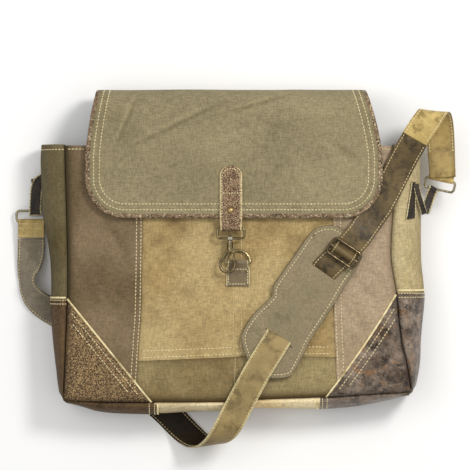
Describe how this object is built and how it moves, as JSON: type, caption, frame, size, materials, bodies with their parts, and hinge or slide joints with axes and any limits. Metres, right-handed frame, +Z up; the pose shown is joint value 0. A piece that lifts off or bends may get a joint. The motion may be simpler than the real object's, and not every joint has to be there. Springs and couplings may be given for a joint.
{
  "type": "messenger bag",
  "caption": "Canvas and leather messenger bag lying on its back, with a folding flap, snap-hook clasp, D-ring, and a leather shoulder strap with adjuster and pad.",
  "frame": {"origin": "on the ground plane under the back panel, midway across and along the bag as it lies on its back", "axes": "+X across the bag to the right seen from the front, +Y from the base towards the mouth and the flap's fold, +Z up, out of the front face"},
  "size_m": [0.5179, 0.4202, 0.0796],
  "materials": {
    "canvas_taupe": "washed heavy canvas",
    "canvas_tan": "washed heavy canvas, worn golden",
    "canvas_moss": "washed heavy canvas",
    "canvas_rose": "washed heavy canvas",
    "canvas_side_left": "washed heavy canvas",
    "canvas_side_right": "washed heavy canvas",
    "canvas_cream": "washed heavy canvas",
    "canvas_back": "washed heavy canvas",
    "canvas_flap": "washed heavy canvas",
    "lining_cloth": "plain cotton lining",
    "leather_brown": "oiled, rubbed, speckled gold",
    "leather_dark": "oiled, glossy, rubbed",
    "leather_speckled": "rough, speckled",
    "leather_patch": "dark, rubbed",
    "leather_tab": "dark, oiled",
    "strap_grey": "suede side",
    "strap_gold": "pull-up leather, golden olive",
    "strap_dark": "pull-up leather, dark olive brown",
    "pad_cloth": "nubuck, grey taupe",
    "pad_foam": "foam filling",
    "brass_antique": "antiqued",
    "hook_bronze": "dark antiqued bronze",
    "ring_nickel": "aged nickel plate",
    "buckle_steel": "aged nickel plate"
  },
  "bodies": {
    "bag": {"front_left_panel": "canvas_taupe", "front_centre_left_panel": "canvas_tan", "front_centre_right_panel": "canvas_tan", "front_lower_panel": "canvas_moss", "front_right_panel": "canvas_rose", "gusset_left": "canvas_side_left", "gusset_right": "canvas_side_right", "gusset_base": "canvas_cream", "back_panel": "canvas_back", "flap_back": "canvas_back", "lining": "lining_cloth", "corner_front_left": "leather_brown", "corner_side_left": "leather_brown", "corner_base_left": "leather_brown", "corner_front_right": "leather_dark", "corner_side_right": "leather_dark", "corner_base_right": "leather_dark", "dring_patch": "leather_patch", "tab_left": "leather_tab", "tab_right": "leather_tab", "strap_left_run": "strap_grey", "strap_front_run": "strap_gold", "strap_top_run": "strap_gold", "strap_upper_run": "strap_dark", "strap_pad_run": "strap_dark"},
    "flap": {"flap_canvas": "canvas_flap", "flap_lining": "lining_cloth", "flap_trim": "leather_speckled", "clasp_tab": "leather_speckled", "tab_rivet": "brass_antique"},
    "clasp_link": {"clasp_ring": "ring_nickel", "swivel_eye": "ring_nickel"},
    "hook": {"snap_hook": "hook_bronze", "gate_pin": "brass_antique"},
    "gate": {"hook_gate": "hook_bronze"},
    "dring": {"d_ring": "hook_bronze"},
    "left_link": {"ring_left": "ring_nickel", "strap_wrap_left": "strap_gold"},
    "right_link": {"ring_right": "ring_nickel", "strap_wrap_right": "strap_gold"},
    "adjuster": {"buckle_frame": "buckle_steel", "strap_hump": "strap_dark"},
    "pad": {"pad_face": "pad_cloth", "pad_foam": "pad_foam", "pad_backing": "pad_cloth", "pad_slot_low": "strap_gold", "pad_slot_up": "strap_dark"}
  },
  "joints": [
    {"name": "flap_fold", "type": "hinge", "parent": "bag", "child": "flap", "pos_m": [0, 0.208, 0.032], "axis": [-1, 0, 0], "range_deg": [0, 160]},
    {"name": "clasp_ring_swing", "type": "hinge", "parent": "flap", "child": "clasp_link", "pos_m": [-0.0035, 0.0453, 0.0707], "axis": [-1, 0, 0], "range_deg": [0, 80]},
    {"name": "hook_swivel", "type": "hinge", "parent": "clasp_link", "child": "hook", "pos_m": [-0.0045, 0.025, 0.0707], "axis": [0, -1, 0], "range_deg": [-10, 10]},
    {"name": "gate_pivot", "type": "hinge", "parent": "hook", "child": "gate", "pos_m": [-0.0005, 0.0182, 0.0707], "axis": [0, 0, -1], "range_deg": [0, 25], "stiffness_Nm_per_rad": 0.002, "springref_deg": -28.65},
    {"name": "dring_swing", "type": "hinge", "parent": "bag", "child": "dring", "pos_m": [0.0047, 0.0052, 0.064], "axis": [1, 0, 0], "range_deg": [0, 12]},
    {"name": "left_ring_swing", "type": "hinge", "parent": "bag", "child": "left_link", "pos_m": [-0.2388, 0.0658, 0.0065], "axis": [-1, 0, 0], "range_deg": [0, 20]},
    {"name": "right_ring_swing", "type": "hinge", "parent": "bag", "child": "right_link", "pos_m": [0.23965, 0.09014, 0.038], "axis": [0.9781, -0.2079, 0], "range_deg": [0, 20]},
    {"name": "adjuster_slide", "type": "slide", "parent": "bag", "child": "adjuster", "axis": [0.5592, 0.829, 0], "range_m": [-0.01, 0.01]},
    {"name": "pad_slide", "type": "slide", "parent": "bag", "child": "pad", "axis": [0.5635, 0.8261, 0], "range_m": [-0.012, 0.003]}
  ]
}
